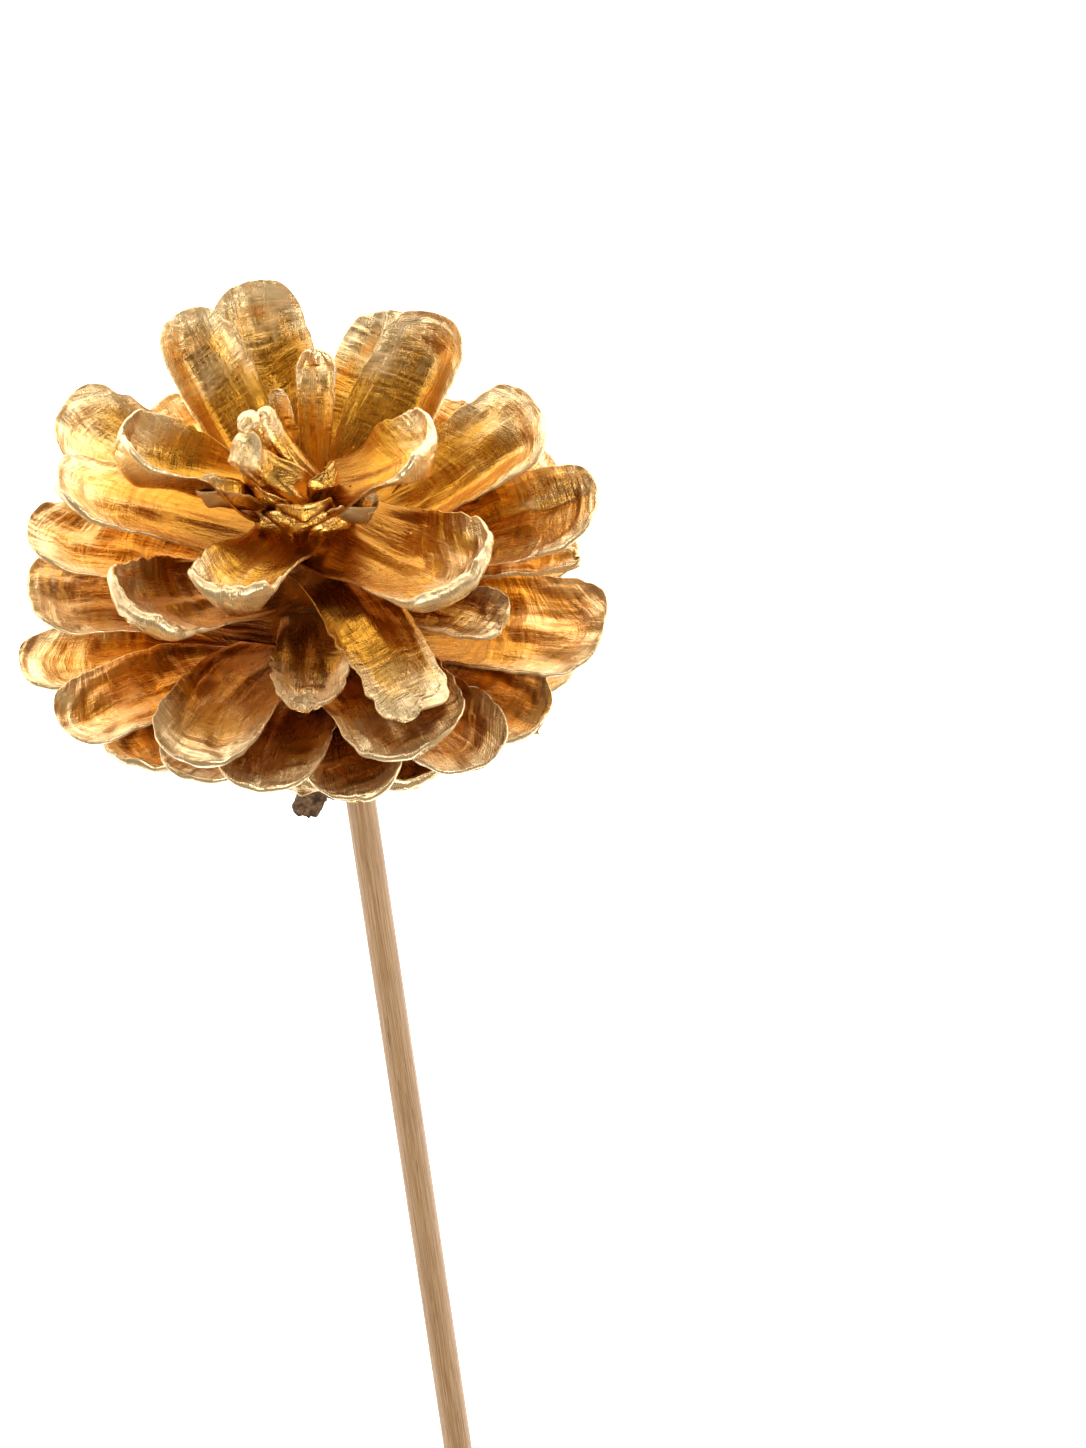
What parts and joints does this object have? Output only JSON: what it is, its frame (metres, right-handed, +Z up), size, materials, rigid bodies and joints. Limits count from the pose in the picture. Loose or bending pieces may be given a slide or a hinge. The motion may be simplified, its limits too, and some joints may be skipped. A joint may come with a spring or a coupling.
{
  "type": "gold-painted pine cone on a stick",
  "caption": "Open pine cone painted gold, its woody scales spread round a core, on a plain bamboo stick for flower arranging.",
  "frame": {"origin": "bottom centre of the bounding box: the cone lies on its side on z = 0, on the tips of its scales and the far end of the stick", "axes": "+Y from the far end of the stick towards the tip of the cone, which is raised about 9 degrees; +Z up; +X across"},
  "size_m": [0.0738, 0.234, 0.0698],
  "materials": {
    "gold_paint": "satin metallic gold paint on woody scales",
    "core_wood": "matt dark brown wood with stray gold paint",
    "stalk_bark": "rough dark brown bark",
    "bamboo": "smooth split bamboo, unvarnished"
  },
  "bodies": {
    "root": {"core": "core_wood", "apex_bud": "gold_paint", "stick": "bamboo", "stalk_stump": "stalk_bark", "scale_01": "gold_paint", "scale_02": "gold_paint", "scale_03": "gold_paint", "scale_04": "gold_paint", "scale_05": "gold_paint", "scale_06": "gold_paint", "scale_07": "gold_paint", "scale_08": "gold_paint", "scale_09": "gold_paint", "scale_10": "gold_paint", "scale_11": "gold_paint", "scale_12": "gold_paint", "scale_13": "gold_paint", "scale_14": "gold_paint", "scale_15": "gold_paint", "scale_16": "gold_paint", "scale_17": "gold_paint", "scale_18": "gold_paint", "scale_19": "gold_paint", "scale_20": "gold_paint", "scale_21": "gold_paint", "scale_22": "gold_paint", "scale_23": "gold_paint", "scale_24": "gold_paint", "scale_25": "gold_paint", "scale_26": "gold_paint", "scale_27": "gold_paint", "scale_28": "gold_paint", "scale_29": "gold_paint", "scale_30": "gold_paint", "scale_31": "gold_paint", "scale_32": "gold_paint", "scale_33": "gold_paint", "scale_34": "gold_paint", "scale_35": "gold_paint", "scale_36": "gold_paint", "scale_37": "gold_paint", "scale_38": "gold_paint", "scale_39": "gold_paint", "scale_40": "gold_paint", "scale_41": "gold_paint", "scale_42": "gold_paint", "scale_43": "gold_paint", "scale_44": "gold_paint", "scale_45": "gold_paint", "scale_46": "gold_paint", "scale_47": "gold_paint", "scale_48": "gold_paint", "scale_49": "gold_paint", "scale_50": "gold_paint", "scale_51": "gold_paint", "scale_52": "gold_paint", "scale_53": "gold_paint", "scale_54": "gold_paint", "scale_55": "gold_paint", "scale_56": "gold_paint"}
  },
  "joints": []
}
